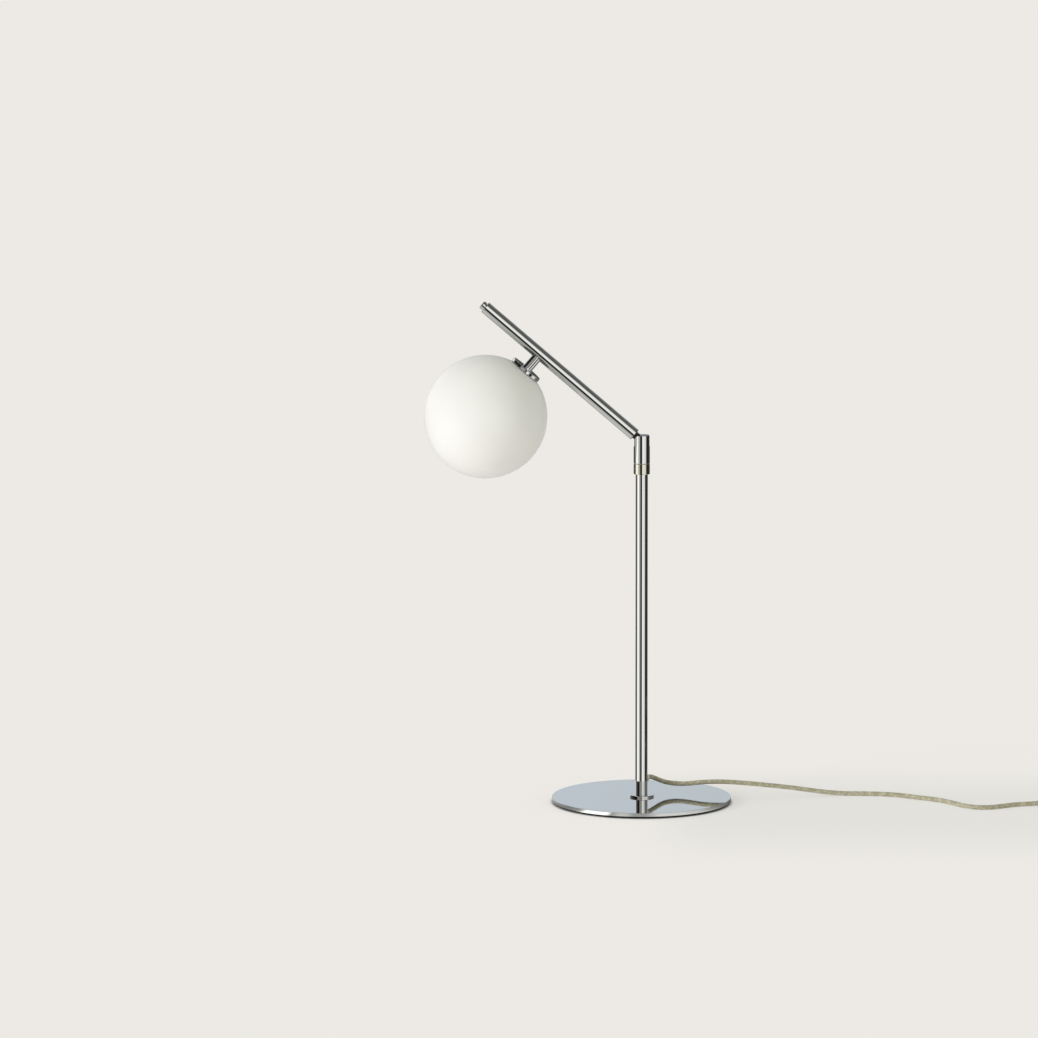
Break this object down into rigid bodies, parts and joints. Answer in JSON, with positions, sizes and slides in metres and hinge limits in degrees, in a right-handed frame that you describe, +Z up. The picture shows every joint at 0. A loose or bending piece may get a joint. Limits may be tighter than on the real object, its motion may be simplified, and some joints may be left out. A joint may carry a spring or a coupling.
{
  "type": "table lamp",
  "caption": "Adjustable table lamp: opal glass globe on a short neck under a tilting arm, on a swivelling friction elbow, thin stem and round polished base, with cord, in-line switch and plug.",
  "frame": {"origin": "on the table, in the middle of the underside of the base", "axes": "+Z up along the stem, the arm leans towards -X, the cord leaves the back of the stem and runs towards +X, +Y is behind the lamp"},
  "size_m": [0.7726, 0.175, 0.4925],
  "materials": {
    "polished_metal": "polished chrome plate on steel",
    "dark_metal": "blackened steel",
    "brass": "turned brass, lightly polished",
    "pale_brass": "polished, pale champagne tint",
    "screw_steel": "bright zinc plate",
    "nickel": "nickel plate",
    "pad_rubber": "matt, dark",
    "dark_rubber": "satin, dark",
    "clear_silicone": "satin, milky",
    "slip_plastic": "satin, off-white",
    "opal_glass": "opal white glass, gloss outside",
    "ceramic": "glazed ceramic, opaque",
    "frosted_cover": "frosted diffuser",
    "wire_insulation": "thin plastic insulation",
    "cord_jacket": "braided olive-khaki textile over round cable",
    "switch_plastic": "black, half gloss",
    "rocker_plastic": "black, half gloss",
    "sleeve_plastic": "black, satin"
  },
  "bodies": {
    "stand": {"base_pad": "pad_rubber", "base_plate": "polished_metal", "base_screw": "screw_steel", "stem_foot": "polished_metal", "stem_tube": "polished_metal", "cord_grommet": "dark_rubber", "cord_inlet": "cord_jacket", "cord_stop": "screw_steel", "stem_wires": "wire_insulation", "swivel_spigot": "brass", "swivel_ring": "pale_brass", "ring_screw": "screw_steel", "swivel_washer": "slip_plastic", "cord_run": "cord_jacket", "cord_lead": "cord_jacket", "cord_coil": "cord_jacket", "cord_tail": "cord_jacket", "switch_base": "switch_plastic", "switch_cover": "switch_plastic", "switch_terminals": "brass", "switch_contacts": "brass", "switch_clamps": "switch_plastic", "switch_screws": "screw_steel", "plug_body": "switch_plastic", "plug_pins": "nickel", "plug_pin_sleeves": "sleeve_plastic"},
    "head": {"head_sleeve": "polished_metal", "swivel_set_screw": "screw_steel", "pivot_pin": "screw_steel", "pivot_screw": "polished_metal", "friction_washers": "slip_plastic"},
    "arm": {"arm_knuckle": "dark_metal", "arm_tube": "polished_metal", "arm_end_cap": "polished_metal", "arm_wires": "wire_insulation", "neck_tube": "polished_metal", "neck_nipple": "brass", "globe_cap": "polished_metal", "globe_gasket": "clear_silicone", "glass_globe": "opal_glass", "holder_bracket": "screw_steel", "neck_nut": "screw_steel", "lamp_holder": "ceramic", "holder_contacts": "brass", "holder_screws": "screw_steel", "lamp_base": "ceramic", "lamp_pins": "nickel", "lamp_dome": "frosted_cover"},
    "rocker": {"switch_rocker": "rocker_plastic"}
  },
  "joints": [
    {"name": "head_swivel", "type": "hinge", "parent": "stand", "child": "head", "pos_m": [0, 0, 0.34], "axis": [0, 0, 1], "range_deg": [-160, 160]},
    {"name": "arm_tilt", "type": "hinge", "parent": "head", "child": "arm", "pos_m": [0, 0, 0.3564], "axis": [0, 1, 0], "range_deg": [-50, 45]},
    {"name": "switch_press", "type": "hinge", "parent": "stand", "child": "rocker", "pos_m": [0.455, -0.018, 0.012], "axis": [0, 1, 0], "range_deg": [0, 16]}
  ]
}
